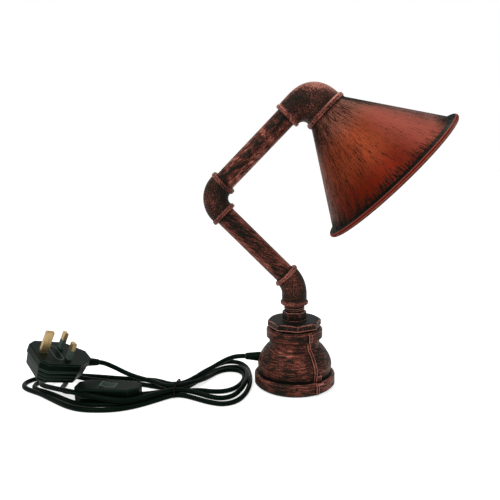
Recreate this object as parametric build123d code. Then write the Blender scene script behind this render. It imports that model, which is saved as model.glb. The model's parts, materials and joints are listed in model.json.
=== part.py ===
from build123d import *
import os
from math import atan, cos, degrees, pi, radians, sin, sqrt, tan

# Table lamp made of malleable-iron pipe fittings, with a cone shade and a switched mains cord.
#
# Z is up, X runs from the cord side towards the shade, and Y runs away from the front. The origin
# is the centre of the foot pad's underside. All sizes are in millimetres.
#
# The pipework is a chain: base casting, octagonal bushing, hexagon nipple, 45 degree elbow, lower
# pipe, 90 degree elbow, upper pipe, reducing elbow. Three of its screwed joints turn.

# ---- fits
SCREW_FIT = 0.05        # radial gap of a screwed or turning spigot in its socket
SLIDE_FIT = 0.15        # gap round moulded pieces that slide or drop in
PRESS_FIT = 0.02        # radial gap of pieces pressed together
AIR = 0.4               # gap between pieces of different bodies that pass each other

# ---- pipe and screwed ends
PIPE_R = 10.65          # half-inch pipe, outside
PIPE_WALL = 2.65
SCREW_R = 10.4          # outside of a half-inch screwed spigot
SPIGOT_L = 12.0         # how far a pipe or nipple goes into a fitting
SOCKET_DEPTH = 13.5     # depth of a fitting's half-inch socket

# ---- base casting, a two inch to one and a quarter inch socket
PAD_R = 38.5
PAD_T = 1.5
RING_R = 42.3
RING_H = 12.4
RING_EDGE = 1.6
SEAM_R = 37.3           # foot of the belly, on top of the ring
BELLY_R = 38.7
BELLY_H = 23.0
SHOULDER_R = 35.0
SHOULDER_H = 33.0
WAIST_R = 28.2
WAIST_H = 41.6
NECK_R = 26.2
NECK_H = 47.0
TOP_BEAD_R = 29.3
TOP_BEAD_H = 11.4
TOP_BEAD_EDGE = 1.8
CAST_H = 60.9
FOOT_BORE_R = 30.2
FOOT_BORE_H = 22.0
TOP_BORE_R = 20.95
TOP_BORE_L = 20.0
RIB_W = 3.6             # mould ribs down the casting's two sides
RIB_H = 1.1
RIB_ANGLE = -55.0
RIB_FOOT_W = 6.6
RIB_FOOT_H = 8.0
RIB_FOOT_OUT = 2.2
PLATE_R = 33.5
PLATE_T = 2.0

# ---- octagonal bushing and hexagon nipple
OCTAGON_FLATS = 51.8
OCTAGON_T = 6.2
OCTAGON_LIFT = 1.8      # thread left showing between casting and head
OCTAGON_TURN = 8.5
OCTAGON_EDGE = 0.9
BUSHING_L = 14.0
NIPPLE_FLATS = 22.0
NIPPLE_CORNER_R = 12.5
NIPPLE_HEX_T = 9.1
NIPPLE_NECK = 7.2       # thread left showing below the elbow
NIPPLE_BORE_R = 7.6

# ---- elbows and pipes
BEAD_R = 14.35
BEAD_W = 4.6
BEAD_EDGE = 1.2
BODY_R = 12.9
PASSAGE_R = 8.6
LEG_45 = 22.0           # corner to face
BEND_45 = 26.0
LEG_90 = 24.8
BEND_90 = 19.0
LOWER_SHOW = 77.9       # pipe that shows between two fittings
UPPER_SHOW = 88.7
LEG_SMALL = 31.0        # reducing elbow, pipe side and shade side
LEG_LARGE = 26.6
BEND_TOP = 15.0
THROAT_R = 13.6
CROWN_R = 20.8
LARGE_BEAD_R = 23.3
LARGE_BEAD_W = 6.0
LARGE_BEAD_EDGE = 1.5
CROWN_WALL = 5.0
LARGE_SOCKET_R = 16.65
LARGE_SOCKET_DEPTH = 14.0

# ---- lampholder mounting
M10_R = 5.0
M10_BORE_R = 3.2
CARRIER_T = 8.0         # screwed disc in the reducing elbow's large socket
CARRIER_IN = 1.2
LOCKNUT_FLATS = 14.0
LOCKNUT_T = 3.0
COLLAR_R = 22.4
COLLAR_T = 0.9
HOLDER_R = 19.6
HOLDER_WALL = 1.6
CAP_L = 15.0
CAP_TOP_R = 11.0
CAP_BOSS_T = 5.0
SKIRT_L = 31.0
SKIRT_LIP = 1.4
CORE_R = 17.6
CORE_L = 30.0
CORE_FLOOR = 7.0
LAMP_THREAD_R = 13.35   # inside of the lamp screw shell
SHELL_WALL = 0.5
SHELL_L = 20.0
CONTACT_R = 4.0
CONTACT_T = 1.0
CONTACT_LIFT = 2.6

# ---- shade, spun from sheet
SHEET = 1.0
SHADE_NECK_R = 22.3
SHADE_SLOPE = 0.6435    # radius gained per millimetre of axis
CONE_L = 83.6
FLARE_R = 4.0
CURL_R = 2.4

# ---- cord, grip and tie
CORD_R = 2.5
GRIP_H = 28.5           # height of the cord's entry into the casting
GRIP_ROOT_R = 4.9
GRIP_TIP_R = 3.4
GRIP_OUT = 13.5
GRIP_FLANGE_R = 6.4
GRIP_FLANGE_T = 2.0
GRIP_SEAT_R = 31.5      # distance from the lamp's axis to the flange's seat
HANK_H = 10.5
MOUND_H = 29.0
TIE_T = 0.8
TIE_W = 3.6
TIE_SPAN = 20.0
TIE_AT = (-119.0, -39.0, 6.05)
SWITCH_CORD_IN = 8.0
SWITCH_CORD_OUT = 4.0

# ---- thirteen ampere plug; X towards its cord, Y across, Z along the pins, zero at the face
PLUG_AT = (-229.0, -53.5, 47.0)
PLUG_X = (0.641, 0.712, -0.287)
PLUG_Z = (0.378, 0.033, 0.925)
PLUG_END_X = -31.0
PLUG_W = 49.0
PLUG_NOSE_X = 27.0
PLUG_NOSE_W = 14.0
PLUG_FACE_T = 9.0
PLUG_BACK_T = 13.0
PLUG_SEAM = 0.8         # step round the joint of the two shells
PLUG_ROUND = 3.0
PLUG_EDGE = 1.4
PLUG_DRAFT = 10.0
PLUG_BACK_ROUND = 2.0
EARTH_X = -22.23
EARTH_PIN = (8.0, 4.0, 22.7)
POWER_PIN = (4.0, 6.35, 17.7)
POWER_SPACING = 22.23
PIN_ROOT = 6.5          # length of a pin inside the face
PIN_TIP = 0.9
SLEEVE_L = 9.5          # sleeve's top over the face
SLEEVE_LONG = 13.0
SLEEVE_WALL = 0.45
FUSE_R = 3.15
FUSE_L = 25.4
FUSE_DEPTH = 4.2
DRAWER_X = -9.4
DRAWER_W = 8.0
DRAWER_L = 28.0
DRAWER_T = 7.6
GUARD_L = 14.0
GUARD_ROOT_L = 6.0
GUARD_ROOT_R = 4.6
GUARD_TIP_R = 3.3

# ---- in-line rocker switch; X along its cord, Z up, zero on its underside
SWITCH_AT = (-183.5, -59.5, 0.0)
SWITCH_L = 66.0
SWITCH_W = 26.0
SWITCH_END_W = 12.0
SWITCH_TAPER_L = 9.0
SWITCH_BASE_H = 8.0
SWITCH_COVER_H = 9.0
SWITCH_WALL = 2.0
SWITCH_ROUND = 2.4
SWITCH_EDGE = 1.0
SWITCH_CROWN = 2.0
SCREW_BOSS_R = 3.4
ROCKER_L = 15.0
ROCKER_W = 10.0
ROCKER_RISE = 3.2
ROCKER_DROP = 3.2
ROCKER_TILT = 8.0
ROCKER_DEPTH = 2.4      # pivot under the cover's top
ROCKER_DISH = 1.0
ROCKER_SWING = 0.8      # gap at each end that the rocker's corners swing into
ROCKER_PIN_R = 1.1
ROCKER_PIN_L = 1.4
SWITCH_SCREW_X = 21.0
SWITCH_SCREW_R = 1.4
SWITCH_SCREW_HEAD_R = 2.6
SWITCH_SCREW_HEAD_T = 1.6
SWITCH_SCREW_L = 13.0
BLADE = (9.0, 5.0, 0.8)

# ---- frame points of the pipework
UP = Vector(0, 0, 1)
ACROSS = Vector(0, 1, 0)
LEAN = Vector(-1, 0, 1).normalized()
REACH = Vector(1, 0, 1).normalized()
DROP = Vector(1, 0, -1).normalized()
CAST_TOP = PAD_T + CAST_H
OCTAGON_TOP = CAST_TOP + OCTAGON_LIFT + OCTAGON_T
HEX_TOP = OCTAGON_TOP + NIPPLE_HEX_T
FIRST_FACE = HEX_TOP + NIPPLE_NECK
CORNER_1 = Vector(0, 0, FIRST_FACE + LEG_45)
CORNER_2 = CORNER_1 + LEAN * (LEG_45 + LOWER_SHOW + LEG_90)
CORNER_3 = CORNER_2 + REACH * (LEG_90 + UPPER_SHOW + LEG_SMALL)
SHADE_FACE = CORNER_3 + DROP * LEG_LARGE
GRIP_TIP_X = -(BELLY_R + GRIP_OUT)
CAP_FACE = COLLAR_T + SHEET
SKIRT_LOW = CAP_FACE + CAP_L
MOUTH = SKIRT_LOW + SKIRT_L
CORE_LOW = MOUTH - HOLDER_WALL - CORE_L


def work_plane(point, direction):
    """Plane at a point, Z along a direction that lies in the plane of the arms."""
    return Plane(origin=point, x_dir=ACROSS, z_dir=direction)


HEAD = work_plane(SHADE_FACE, DROP)
BENCH = Plane.XY


def turned(outline, place=BENCH):
    """Solid of revolution about a plane's Z from (radius, height, rounding) corners."""
    corners = [(r, h) for r, h, rounding in outline]
    edges = FilletPolyline(*corners, radius=[rounding for r, h, rounding in outline], close=True)
    return place.location * revolve(Plane.XZ * make_face(edges), Axis.Z)


def tube(outer, inner, low, high, place=BENCH):
    """Plain ring or pipe between two heights."""
    return turned([(inner, low, 0), (outer, low, 0), (outer, high, 0), (inner, high, 0)], place)


def rod(radius, low, high, place=BENCH):
    """Plain round bar between two heights."""
    return turned([(0, low, 0), (radius, low, 0), (radius, high, 0), (0, high, 0)], place)


def box(size, centre, place=BENCH):
    """Block of a size about its centre."""
    return place.location * Pos(*centre) * Box(*size)


# ---------------------------------------------------------------- base
def casting_skin(grow):
    """Outer form of the base casting, grown outwards by a distance."""
    foot = [
        (0, PAD_T),
        (RING_R + grow - RING_EDGE, PAD_T),
        (RING_R + grow, PAD_T + RING_EDGE),
        (RING_R + grow, PAD_T + RING_H - RING_EDGE),
        (RING_R + grow - RING_EDGE, PAD_T + RING_H),
        (SEAM_R + grow, PAD_T + RING_H),
    ]
    belly = Spline(
        (SEAM_R + grow, PAD_T + RING_H),
        (BELLY_R + grow, PAD_T + BELLY_H),
        (SHOULDER_R + grow, PAD_T + SHOULDER_H),
        (WAIST_R + grow, PAD_T + WAIST_H),
        (NECK_R + grow, PAD_T + NECK_H),
        tangents=[(0.2, 1), (0, 1)],
    )
    bead_low = CAST_TOP - TOP_BEAD_H
    bead = [
        (NECK_R + grow, PAD_T + NECK_H),
        (NECK_R + grow, bead_low),
        (TOP_BEAD_R + grow - TOP_BEAD_EDGE, bead_low),
        (TOP_BEAD_R + grow, bead_low + TOP_BEAD_EDGE),
        (TOP_BEAD_R + grow, CAST_TOP - TOP_BEAD_EDGE),
        (TOP_BEAD_R + grow - TOP_BEAD_EDGE, CAST_TOP),
        (0, CAST_TOP),
        (0, PAD_T),
    ]
    outline = Curve() + Polyline(*foot) + belly + Polyline(*bead)
    return revolve(Plane.XZ * make_face(outline), Axis.Z)


def mould_rib(angle):
    """Raised seam down one side, with a wider foot where the belly meets the ring."""
    rib = casting_skin(RIB_H) & box((RING_R * 2, RIB_W, CAST_H), (RING_R, 0, PAD_T + CAST_H / 2))
    foot_z = PAD_T + RING_H + RIB_FOOT_H / 2 - RING_EDGE
    foot = casting_skin(RIB_FOOT_OUT) & box(
        (RING_R * 2, RIB_FOOT_W, RIB_FOOT_H), (RING_R, RIB_FOOT_W / 2, foot_z))
    return Rot(0, 0, angle) * (rib + foot)


def base_casting():
    bore_top = PAD_T + CAST_H
    hollow = turned([
        (0, 0, 0),
        (PLATE_R + PRESS_FIT, 0, 0),
        (PLATE_R + PRESS_FIT, PAD_T + PLATE_T, 0),
        (FOOT_BORE_R, PAD_T + PLATE_T, 0),
        (FOOT_BORE_R, PAD_T + FOOT_BORE_H, 0),
        (TOP_BORE_R, bore_top - TOP_BORE_L, 0),
        (TOP_BORE_R, bore_top + 1, 0),
        (0, bore_top + 1, 0),
    ])
    entry = Plane(origin=(0, 0, GRIP_H), x_dir=(0, 1, 0), z_dir=(-1, 0, 0))
    hole = rod(GRIP_ROOT_R + PRESS_FIT, 0, RING_R, entry)
    seat = rod(GRIP_FLANGE_R + SLIDE_FIT, 0, GRIP_SEAT_R, entry)
    ribs = mould_rib(RIB_ANGLE) + mould_rib(RIB_ANGLE + 180)
    return casting_skin(0) + ribs - hollow - hole - seat


def base_plate():
    return rod(PLATE_R, PAD_T, PAD_T + PLATE_T)


def foot_pad():
    return rod(PAD_R, 0, PAD_T)


def octagon_bushing():
    low = CAST_TOP + OCTAGON_LIFT
    head = extrude(RegularPolygon(OCTAGON_FLATS / 2, 8, major_radius=False), OCTAGON_T)
    head = Pos(0, 0, low) * Rot(0, 0, OCTAGON_TURN) * head
    corner_r = OCTAGON_FLATS / 2 / cos(radians(22.5))
    trim = turned([
        (0, low, 0), (corner_r, low, 0), (corner_r, OCTAGON_TOP - OCTAGON_EDGE, 0),
        (corner_r - 2 * OCTAGON_EDGE, OCTAGON_TOP, 0), (0, OCTAGON_TOP, 0)])
    thread = rod(TOP_BORE_R - SCREW_FIT, CAST_TOP - BUSHING_L, low)
    bore = rod(SCREW_R + SCREW_FIT, CAST_TOP - BUSHING_L - 1, OCTAGON_TOP + 1)
    return (head & trim) + thread - bore


def hex_nipple():
    hexagon = extrude(RegularPolygon(NIPPLE_FLATS / 2, 6, major_radius=False), NIPPLE_HEX_T)
    hexagon = Pos(0, 0, OCTAGON_TOP) * hexagon
    trim = turned([
        (0, OCTAGON_TOP, 0), (NIPPLE_CORNER_R, OCTAGON_TOP, 0.8), (NIPPLE_CORNER_R, HEX_TOP, 0.8),
        (0, HEX_TOP, 0)])
    ends = rod(SCREW_R, CAST_TOP - BUSHING_L + 2, FIRST_FACE + SPIGOT_L)
    bore = rod(NIPPLE_BORE_R, 0, FIRST_FACE + SPIGOT_L + 1)
    return (hexagon & trim) + ends - bore


def cord_grip():
    """Moulded grip pushed out through the casting's side from within."""
    place = Plane(origin=(0, 0, GRIP_H), x_dir=(0, 1, 0), z_dir=(-1, 0, 0))
    tip = -GRIP_TIP_X
    body = turned([
        (CORD_R + PRESS_FIT, GRIP_SEAT_R - GRIP_FLANGE_T, 0),
        (GRIP_FLANGE_R, GRIP_SEAT_R - GRIP_FLANGE_T, 0),
        (GRIP_FLANGE_R, GRIP_SEAT_R, 0),
        (GRIP_ROOT_R, GRIP_SEAT_R, 0),
        (GRIP_ROOT_R, BELLY_R, 0),
        (GRIP_TIP_R, tip, 0.6),
        (CORD_R + PRESS_FIT, tip, 0),
    ], place)
    return body


def flex(points, bend):
    """Flex laid along two straight runs with a round bend."""
    path = FilletPolyline(*points, radius=bend)
    start = Plane(origin=path @ 0, z_dir=path % 0)
    return sweep(start * Circle(CORD_R), path)


def flex_in_base():
    return flex(
        [(GRIP_TIP_X, 0, GRIP_H), (0, 0, GRIP_H), (0, 0, FIRST_FACE + SPIGOT_L)], GRIP_H * 0.6)


# ---------------------------------------------------------------- pipework
def bead(place, socket_r):
    """Band round a half-inch fitting's mouth, seen from the mouth inwards."""
    return turned([
        (socket_r, 0, 0), (BEAD_R, 0, BEAD_EDGE), (BEAD_R, BEAD_W, BEAD_EDGE), (socket_r, BEAD_W, 0)],
        place)


def elbow(corner, entry, leaving, leg, bend, entry_r, leaving_r):
    """Equal elbow: swept body, a band at each mouth, and a socket behind each band."""
    mouth_in = corner - entry * leg
    mouth_out = corner + leaving * leg
    path = FilletPolyline(mouth_in, corner, mouth_out, radius=bend)
    start = work_plane(mouth_in, entry)
    end = work_plane(mouth_out, leaving * -1)
    body = sweep(start * Circle(BODY_R), path)
    body += bead(start, PASSAGE_R)
    body += bead(end, PASSAGE_R)
    body -= sweep(start * Circle(PASSAGE_R), path)
    body -= rod(entry_r + SCREW_FIT, 0, SOCKET_DEPTH, start)
    body -= rod(leaving_r + SCREW_FIT, 0, SOCKET_DEPTH, end)
    return body


def elbow_45():
    return elbow(CORNER_1, UP, LEAN, LEG_45, BEND_45, SCREW_R, PIPE_R)


def elbow_90():
    return elbow(CORNER_2, LEAN, REACH, LEG_90, BEND_90, PIPE_R, PIPE_R)


def pipe(face_low, direction, show):
    """Pipe that goes a spigot's length into the fitting at each end."""
    place = work_plane(face_low, direction)
    return tube(PIPE_R, PIPE_R - PIPE_WALL, -SPIGOT_L, show + SPIGOT_L, place)


def lower_pipe():
    return pipe(CORNER_1 + LEAN * LEG_45, LEAN, LOWER_SHOW)


def upper_pipe():
    return pipe(CORNER_2 + REACH * LEG_90, REACH, UPPER_SHOW)


def crown_form(shrink, reach_in, reach_out):
    """Bend that swells from the throat to the large mouth, as a loft of circles."""
    centre = CORNER_3 - REACH * BEND_TOP + DROP * BEND_TOP
    stations = [(CORNER_3 - REACH * reach_in, REACH, THROAT_R)]
    steps = 4
    for number in range(steps + 1):
        share = number / steps
        angle = radians(90 * share)
        swell = share * share * (3 - 2 * share)
        stations.append((
            centre + (REACH * sin(angle) - DROP * cos(angle)) * BEND_TOP,
            REACH * cos(angle) + DROP * sin(angle),
            THROAT_R + (CROWN_R - THROAT_R) * (0.5 * share + 0.5 * swell)))
    stations.append((CORNER_3 + DROP * reach_out, DROP, CROWN_R))
    return loft([work_plane(point, way) * Circle(radius - shrink) for point, way, radius in stations])


def reducing_elbow():
    mouth_in = work_plane(CORNER_3 - REACH * LEG_SMALL, REACH)
    mouth_out = work_plane(SHADE_FACE, DROP * -1)
    body = crown_form(0, LEG_SMALL - BEAD_W / 2, LEG_LARGE - LARGE_BEAD_W / 2)
    body += bead(mouth_in, PASSAGE_R)
    body += turned([
        (LARGE_SOCKET_R - 2, 0, 0), (LARGE_BEAD_R, 0, LARGE_BEAD_EDGE),
        (LARGE_BEAD_R, LARGE_BEAD_W, LARGE_BEAD_EDGE), (LARGE_SOCKET_R - 2, LARGE_BEAD_W, 0)], mouth_out)
    body -= crown_form(CROWN_WALL, LEG_SMALL, LEG_LARGE)
    body -= rod(PIPE_R + SCREW_FIT, -1, SOCKET_DEPTH, mouth_in)
    body -= rod(LARGE_SOCKET_R, -1, LARGE_SOCKET_DEPTH, mouth_out)
    return body


def flex_in_lower_arm():
    end = CORNER_2 - LEAN * (LEG_90 - SPIGOT_L)
    room = LEG_45 - SPIGOT_L
    return flex([(0, 0, FIRST_FACE + SPIGOT_L), CORNER_1, end], 0.9 * room / tan(radians(22.5)))


def flex_in_upper_arm():
    start = CORNER_2 - LEAN * (LEG_90 - SPIGOT_L)
    end = CORNER_3 - REACH * (LEG_SMALL - SPIGOT_L)
    return flex([start, CORNER_2, end], 0.9 * (LEG_90 - SPIGOT_L))


def flex_in_head():
    start = CORNER_3 - REACH * (LEG_SMALL - SPIGOT_L)
    end = SHADE_FACE + DROP * CORE_LOW
    return flex([start, CORNER_3, end], BEND_TOP)


# ------------------------------------------ lamp head; heights run along the shade's axis
def carrier_disc():
    """Screwed disc in the large socket that carries the lampholder's threaded tube."""
    high = -CARRIER_IN
    return tube(LARGE_SOCKET_R - SCREW_FIT, M10_R, high - CARRIER_T, high, HEAD)


def carrier_tube():
    low = -CARRIER_IN - CARRIER_T - LOCKNUT_T - 1
    return tube(M10_R - SCREW_FIT, M10_BORE_R, low, CAP_FACE + CAP_BOSS_T, HEAD)


def carrier_locknut():
    low = -CARRIER_IN - CARRIER_T - LOCKNUT_T
    nut = extrude(RegularPolygon(LOCKNUT_FLATS / 2, 6, major_radius=False), LOCKNUT_T)
    nut = HEAD.location * Pos(0, 0, low) * nut
    return nut - rod(M10_R, low - 1, low + LOCKNUT_T + 1, HEAD)


def shade_collar():
    return tube(COLLAR_R, M10_R + SLIDE_FIT, 0, COLLAR_T, HEAD)


def shade():
    """Spun cone: flat neck with a hole, straight side, flared edge and a curled rim."""
    spread = sqrt(1 + SHADE_SLOPE * SHADE_SLOPE)
    outward = Vector(1, -SHADE_SLOPE) * (1 / spread)
    sweep_angle = 90 - degrees(atan(SHADE_SLOPE))
    hole_r = M10_R + SLIDE_FIT
    edge = Vector(SHADE_NECK_R + SHADE_SLOPE * CONE_L, CONE_L)
    inner_edge = edge - outward * SHEET
    inner_neck = Vector(SHADE_NECK_R + SHADE_SLOPE * SHEET - SHEET * spread, SHEET)
    hub = edge + outward * FLARE_R
    rim = hub + Vector(0, FLARE_R)
    inner_rim = hub + Vector(0, FLARE_R + SHEET)
    curl = rim + Vector(CURL_R / 2, CURL_R)
    outline = Curve() + Polyline((hole_r, SHEET), (hole_r, 0), (SHADE_NECK_R, 0), edge)
    outline += CenterArc(hub, FLARE_R, 90, sweep_angle)
    outline += Polyline(rim, (curl.X, rim.Y), (curl.X, inner_rim.Y), inner_rim)
    outline += CenterArc(hub, FLARE_R + SHEET, 90, sweep_angle)
    outline += Polyline(inner_edge, inner_neck, (hole_r, SHEET))
    section = make_face(outline) + Pos(curl.X, curl.Y) * Circle(CURL_R)
    return HEAD.location * Pos(0, 0, COLLAR_T) * revolve(Plane.XZ * section, Axis.Z)


def holder_cap():
    """Lampholder's cap, clamped on the threaded tube against the shade."""
    return turned([
        (M10_R, CAP_FACE, 0), (CAP_TOP_R, CAP_FACE, 2), (HOLDER_R, CAP_FACE + CAP_BOSS_T, 3),
        (HOLDER_R, SKIRT_LOW, 0), (HOLDER_R - HOLDER_WALL, SKIRT_LOW, 0),
        (HOLDER_R - HOLDER_WALL, CAP_FACE + CAP_BOSS_T + HOLDER_WALL, 0),
        (M10_R + HOLDER_WALL, CAP_FACE + CAP_BOSS_T, 0), (M10_R, CAP_FACE + CAP_BOSS_T, 0)], HEAD)


def holder_skirt():
    return turned([
        (HOLDER_R - HOLDER_WALL, SKIRT_LOW, 0), (HOLDER_R, SKIRT_LOW, 0), (HOLDER_R, MOUTH, 1),
        (HOLDER_R - HOLDER_WALL - SKIRT_LIP, MOUTH, 0),
        (HOLDER_R - HOLDER_WALL - SKIRT_LIP, MOUTH - HOLDER_WALL, 0),
        (HOLDER_R - HOLDER_WALL, MOUTH - HOLDER_WALL, 0)], HEAD)


def holder_core():
    """Insulating core that the skirt holds; the screw shell drops into its open end."""
    high = MOUTH - HOLDER_WALL
    low = CORE_LOW
    bore_r = LAMP_THREAD_R + SHELL_WALL + PRESS_FIT
    return turned([
        (0, low, 0), (CORE_R, low, 0), (CORE_R, high, 0), (bore_r, high, 0),
        (bore_r, low + CORE_FLOOR, 0), (0, low + CORE_FLOOR, 0)], HEAD)


def screw_shell():
    high = MOUTH - HOLDER_WALL
    return tube(LAMP_THREAD_R + SHELL_WALL, LAMP_THREAD_R, high - SHELL_L, high, HEAD)


def centre_contact():
    floor = CORE_LOW + CORE_FLOOR
    return turned([
        (0, floor, 0), (CONTACT_R, floor, 0), (CONTACT_R, floor + CONTACT_T, 0),
        (CONTACT_R / 2, floor + CONTACT_LIFT, 0.5), (0, floor + CONTACT_LIFT, 0)], HEAD)


# ------------------------------------------ plug
PLUG = Plane(origin=PLUG_AT, x_dir=PLUG_X, z_dir=PLUG_Z)


def plug_outline(inset):
    """Plan of the plug: square earth end with cut corners, narrowing to the cord's nose."""
    half = PLUG_W / 2 - inset
    nose = PLUG_NOSE_W / 2 - inset / 2
    corners = [
        (PLUG_END_X + inset, -half + 7), (PLUG_END_X + 7 + inset / 2, -half), (8, -half),
        (PLUG_NOSE_X - inset, -nose), (PLUG_NOSE_X - inset, nose), (8, half),
        (PLUG_END_X + 7 + inset / 2, half), (PLUG_END_X + inset, half - 7)]
    return make_face(FilletPolyline(*corners, radius=PLUG_ROUND, close=True))


def plug_bar(section, at, low, high):
    """Rectangular bar along the pins between two heights over the face."""
    return box((section[0], section[1], high - low), (at[0], at[1], (low + high) / 2))


def pin(size, at):
    """Pin with its tip cut back, from its root inside the face."""
    bar = plug_bar(size, at, -PIN_ROOT, size[2])
    return chamfer(bar.faces().sort_by(Axis.Z)[-1].edges(), PIN_TIP)


def power_places():
    """Where the two power pins stand on the face."""
    return [(0, side * POWER_SPACING / 2) for side in (-1, 1)]


def sleeve_core(at, low, high):
    """Waist of a power pin that its sleeve wraps."""
    waist = (POWER_PIN[0] - 2 * SLEEVE_WALL, POWER_PIN[1] - 2 * SLEEVE_WALL)
    return plug_bar(waist, at, low, high)


def earth_pin():
    return PLUG.location * pin(EARTH_PIN, (EARTH_X, 0))


def power_pins():
    pins = []
    for at in power_places():
        tip = pin(POWER_PIN, at) - plug_bar((9, 9), at, -PIN_ROOT - 1, SLEEVE_L)
        pins.append(PLUG.location * (tip + sleeve_core(at, -PIN_ROOT, SLEEVE_L)))
    return Compound(children=pins)


def pin_sleeves():
    sleeves = []
    for at in power_places():
        sleeve = plug_bar(POWER_PIN, at, SLEEVE_L - SLEEVE_LONG, SLEEVE_L)
        sleeves.append(PLUG.location * (sleeve - sleeve_core(at, -PIN_ROOT, SLEEVE_L + 1)))
    return Compound(children=sleeves)


def drawer_block(grow, low, high):
    """Round-ended block of the fuse carrier, or of its pocket."""
    plan = SlotOverall(DRAWER_L + 2 * grow, DRAWER_W + 2 * grow, rotation=90)
    return Pos(DRAWER_X, 0, low) * extrude(plan, high - low)


def fuse_place():
    """Plane whose Z is the fuse's axis, in the plug's own frame."""
    return Plane(origin=(DRAWER_X, -FUSE_L / 2, -FUSE_DEPTH), x_dir=(1, 0, 0), z_dir=(0, 1, 0))


def fuse_drawer():
    body = drawer_block(0, -DRAWER_T + SLIDE_FIT, 0)
    body -= rod(FUSE_R + PRESS_FIT, -0.1, FUSE_L + 0.1, fuse_place())
    body -= box((2 * FUSE_R, FUSE_L, FUSE_DEPTH), (DRAWER_X, 0, -FUSE_DEPTH * 1.5))
    return PLUG.location * body


def fuse():
    return PLUG.location * rod(FUSE_R, 0, FUSE_L, fuse_place())


def cord_guard(grow=0.0):
    """Moulded guard that tapers along the cord from the plug's nose."""
    place = Plane(origin=(PLUG_NOSE_X, 0, -PLUG_FACE_T), x_dir=(0, 1, 0), z_dir=(1, 0, 0))
    return turned([
        (0, -GUARD_ROOT_L, 0), (GUARD_ROOT_R + grow, -GUARD_ROOT_L, 0), (GUARD_ROOT_R + grow, 0, 0),
        (GUARD_TIP_R + grow, GUARD_L, 0.6), (0, GUARD_L, 0)], place)


def plug_guard():
    return PLUG.location * cord_guard()


def plug_face():
    face = extrude(plug_outline(0), -PLUG_FACE_T)
    face = chamfer(face.faces().sort_by(Axis.Z)[-1].edges(), PLUG_EDGE)
    face -= drawer_block(SLIDE_FIT, -DRAWER_T, 1)
    face -= plug_bar(EARTH_PIN, (EARTH_X, 0), -PIN_ROOT, 1)
    for at in power_places():
        face -= plug_bar(POWER_PIN, at, -PIN_ROOT, 1)
    return PLUG.location * (face - cord_guard(PRESS_FIT))


def plug_back():
    back = extrude(plug_outline(PLUG_SEAM), -PLUG_BACK_T, taper=PLUG_DRAFT)
    back = fillet(back.faces().sort_by(Axis.Z)[0].edges(), PLUG_BACK_ROUND)
    return PLUG.location * (Pos(0, 0, -PLUG_FACE_T) * back - cord_guard(PRESS_FIT))


# ------------------------------------------ in-line switch
SWITCH = Plane(origin=SWITCH_AT)
SWITCH_TOP = SWITCH_BASE_H + SWITCH_COVER_H
PIVOT_H = SWITCH_TOP - ROCKER_DEPTH


def switch_plan(inset):
    """Plan of the switch, narrowing to the cord at both ends."""
    half_l, half_w, half_end = SWITCH_L / 2 - inset, SWITCH_W / 2 - inset, SWITCH_END_W / 2 - inset / 2
    side = half_l - SWITCH_TAPER_L
    corners = [
        (half_l, half_end), (side, half_w), (-side, half_w), (-half_l, half_end),
        (-half_l, -half_end), (-side, -half_w), (side, -half_w), (half_l, -half_end)]
    return make_face(FilletPolyline(*corners, radius=SWITCH_ROUND, close=True))


def screw_spots():
    """Switch screws, one near each end."""
    return [(-SWITCH_SCREW_X, 0), (SWITCH_SCREW_X, 0)]


def cord_way():
    """Bore along the joint of the two halves that the cord passes through at both ends."""
    place = Plane(origin=(-SWITCH_L, 0, SWITCH_BASE_H), x_dir=(0, 1, 0), z_dir=(1, 0, 0))
    way = rod(CORD_R + PRESS_FIT, 0, 2 * SWITCH_L, place)
    return way - box((SWITCH_SCREW_X * 2 - 2 * SCREW_BOSS_R, SWITCH_W, SWITCH_TOP), (0, 0, SWITCH_BASE_H))


def switch_base():
    shell = extrude(switch_plan(0), SWITCH_BASE_H)
    shell = fillet(shell.faces().sort_by(Axis.Z)[0].edges(), SWITCH_EDGE)
    shell -= Pos(0, 0, SWITCH_WALL) * extrude(switch_plan(SWITCH_WALL), SWITCH_BASE_H)
    for x, y in screw_spots():
        shell += Pos(x, y, 0) * rod(SCREW_BOSS_R, SWITCH_WALL, SWITCH_BASE_H)
        shell -= Pos(x, y, 0) * rod(SWITCH_SCREW_R + PRESS_FIT, -1, SWITCH_TOP)
        shell -= Pos(x, y, 0) * rod(SWITCH_SCREW_HEAD_R + SLIDE_FIT, -1, SWITCH_SCREW_HEAD_T)
    return SWITCH.location * (shell - cord_way())


def switch_cover():
    cover = Pos(0, 0, SWITCH_BASE_H) * extrude(switch_plan(0), SWITCH_COVER_H)
    cover = fillet(cover.faces().sort_by(Axis.Z)[-1].edges(), SWITCH_CROWN)
    room = SWITCH_COVER_H - SWITCH_WALL
    cover -= Pos(0, 0, SWITCH_BASE_H) * extrude(switch_plan(SWITCH_WALL), room)
    window_l = ROCKER_L + 2 * ROCKER_SWING
    window_w = ROCKER_W + 2 * AIR
    cheek = box(
        (window_l + 2 * SWITCH_WALL, window_w + 2 * SWITCH_WALL, room),
        (0, 0, SWITCH_BASE_H + room / 2))
    for x, y in screw_spots():
        cover += Pos(x, y, 0) * rod(SCREW_BOSS_R, SWITCH_BASE_H, SWITCH_TOP - SWITCH_WALL)
        cover -= Pos(x, y, 0) * rod(SWITCH_SCREW_R + PRESS_FIT, 0, SWITCH_TOP - SWITCH_WALL)
    cover += cheek
    cover -= box((window_l, window_w, 3 * SWITCH_TOP), (0, 0, SWITCH_TOP))
    cover -= rocker_pin(SCREW_FIT, AIR)
    return SWITCH.location * (cover - cord_way())


def rocker_pin(grow, longer):
    """Pivot of the rocker across the switch, or its seat in the cover."""
    half = ROCKER_W / 2 + ROCKER_PIN_L + longer
    place = Plane(origin=(0, -half, PIVOT_H), x_dir=(1, 0, 0), z_dir=(0, 1, 0))
    return rod(ROCKER_PIN_R + grow, 0, 2 * half, place)


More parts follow.
